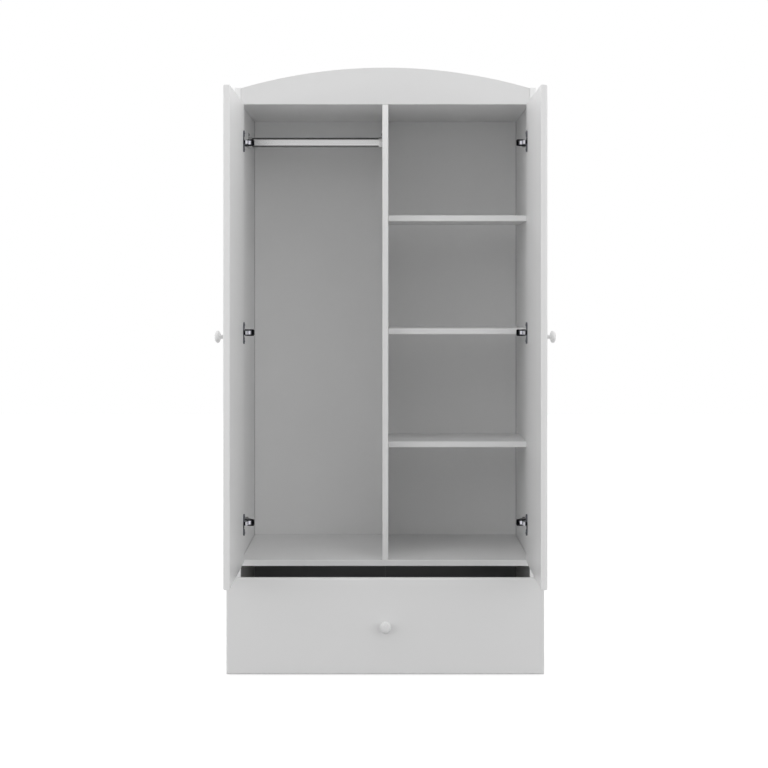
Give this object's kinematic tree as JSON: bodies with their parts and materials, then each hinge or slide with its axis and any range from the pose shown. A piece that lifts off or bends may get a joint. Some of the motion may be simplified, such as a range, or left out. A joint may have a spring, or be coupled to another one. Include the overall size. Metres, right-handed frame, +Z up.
{
  "type": "two-door wardrobe with drawer",
  "caption": "Tall wardrobe with an arched crown, hinged doors on concealed hinges, a hanging bay with an oval rail, a shelf bay and a wide drawer on roller runners.",
  "frame": {"origin": "on the floor, under the middle of the wardrobe's box as it stands with its doors open and its drawer out", "axes": "+Z up, +Y towards the back panels, -Y towards the person who opens it, +X towards the shelf bay"},
  "size_m": [0.9324, 0.9628, 1.753],
  "materials": {
    "laminate": "white melamine-faced chipboard, fine satin",
    "front_laminate": "white foil-wrapped board, smooth satin",
    "hardboard": "white-faced hardboard, matt",
    "knob_lacquer": "turned and white lacquered",
    "rail_steel": "plated steel tube, satin",
    "hinge_steel": "nickel-plated pressed steel",
    "runner_steel": "white epoxy-coated rolled steel",
    "roller_nylon": "moulded nylon"
  },
  "bodies": {
    "carcass": {"left_side_panel": "laminate", "right_side_panel": "laminate", "top_panel": "laminate", "arched_crown": "front_laminate", "bottom_panel": "laminate", "centre_divider": "laminate", "back_panel_left": "hardboard", "back_panel_right": "hardboard", "lower_rear_rail": "laminate", "upper_shelf": "laminate", "middle_shelf": "laminate", "lower_shelf": "laminate", "hanging_rail": "rail_steel", "rail_socket_left": "rail_steel", "rail_socket_right": "rail_steel", "left_cabinet_runner": "runner_steel", "right_cabinet_runner": "runner_steel", "left_upper_hinge_arm": "hinge_steel", "left_upper_hinge_plate": "hinge_steel", "left_middle_hinge_arm": "hinge_steel", "left_middle_hinge_plate": "hinge_steel", "left_lower_hinge_arm": "hinge_steel", "left_lower_hinge_plate": "hinge_steel", "right_upper_hinge_arm": "hinge_steel", "right_upper_hinge_plate": "hinge_steel", "right_middle_hinge_arm": "hinge_steel", "right_middle_hinge_plate": "hinge_steel", "right_lower_hinge_arm": "hinge_steel", "right_lower_hinge_plate": "hinge_steel"},
    "drawer": {"drawer_front": "front_laminate", "drawer_knob": "knob_lacquer", "drawer_left_side": "laminate", "drawer_right_side": "laminate", "drawer_back": "laminate", "drawer_bottom": "hardboard", "left_drawer_runner": "runner_steel", "right_drawer_runner": "runner_steel"},
    "left_door": {"left_door": "front_laminate", "left_door_knob": "knob_lacquer", "left_upper_hinge_cup": "hinge_steel", "left_middle_hinge_cup": "hinge_steel", "left_lower_hinge_cup": "hinge_steel"},
    "right_door": {"right_door": "front_laminate", "right_door_knob": "knob_lacquer", "right_upper_hinge_cup": "hinge_steel", "right_middle_hinge_cup": "hinge_steel", "right_lower_hinge_cup": "hinge_steel"},
    "left_hinge_links": {"left_upper_hinge_link": "hinge_steel", "left_middle_hinge_link": "hinge_steel", "left_lower_hinge_link": "hinge_steel"},
    "right_hinge_links": {"right_upper_hinge_link": "hinge_steel", "right_middle_hinge_link": "hinge_steel", "right_lower_hinge_link": "hinge_steel"},
    "front_roller_left": {"left_front_roller": "roller_nylon"},
    "front_roller_right": {"right_front_roller": "roller_nylon"},
    "rear_roller_left": {"left_rear_roller": "roller_nylon"},
    "rear_roller_right": {"right_rear_roller": "roller_nylon"}
  },
  "joints": [
    {"name": "left_door_hinge", "type": "hinge", "parent": "carcass", "child": "left_door", "pos_m": [-0.43969, -0.04321, 0.9605], "axis": [0, 0, 1], "range_deg": [-5, 90]},
    {"name": "right_door_hinge", "type": "hinge", "parent": "carcass", "child": "right_door", "pos_m": [0.43969, -0.04321, 0.9605], "axis": [0, 0, -1], "range_deg": [-5, 90]},
    {"name": "drawer_slide", "type": "slide", "parent": "carcass", "child": "drawer", "axis": [0, -1, 0], "range_m": [-0.248, 0.082]},
    {"name": "left_link_turn", "type": "hinge", "parent": "left_door", "child": "left_hinge_links", "pos_m": [-0.42839, -0.04339, 0.9605], "axis": [0, 0, 1], "range_deg": [-115, 7]},
    {"name": "right_link_turn", "type": "hinge", "parent": "right_door", "child": "right_hinge_links", "pos_m": [0.42839, -0.04339, 0.9605], "axis": [0, 0, -1], "range_deg": [-115, 7]},
    {"name": "front_roller_left_turn", "type": "hinge", "parent": "carcass", "child": "front_roller_left", "pos_m": [-0.4257, -0.00191, 0.0443], "axis": [1, 0, 0], "continuous": true},
    {"name": "front_roller_right_turn", "type": "hinge", "parent": "carcass", "child": "front_roller_right", "pos_m": [0.4257, -0.00191, 0.0443], "axis": [1, 0, 0], "continuous": true},
    {"name": "rear_roller_left_turn", "type": "hinge", "parent": "drawer", "child": "rear_roller_left", "pos_m": [-0.4257, 0.16289, 0.042], "axis": [1, 0, 0], "continuous": true},
    {"name": "rear_roller_right_turn", "type": "hinge", "parent": "drawer", "child": "rear_roller_right", "pos_m": [0.4257, 0.16289, 0.042], "axis": [1, 0, 0], "continuous": true}
  ],
  "couplings": [
    {"joint": "left_link_turn", "follows": "left_door_hinge", "ratio": -1.27},
    {"joint": "right_link_turn", "follows": "right_door_hinge", "ratio": -1.27},
    {"joint": "front_roller_left_turn", "follows": "drawer_slide", "rad_per_m": 93.458},
    {"joint": "front_roller_right_turn", "follows": "drawer_slide", "rad_per_m": 93.458},
    {"joint": "rear_roller_left_turn", "follows": "drawer_slide", "rad_per_m": 95.238},
    {"joint": "rear_roller_right_turn", "follows": "drawer_slide", "rad_per_m": 95.238}
  ]
}
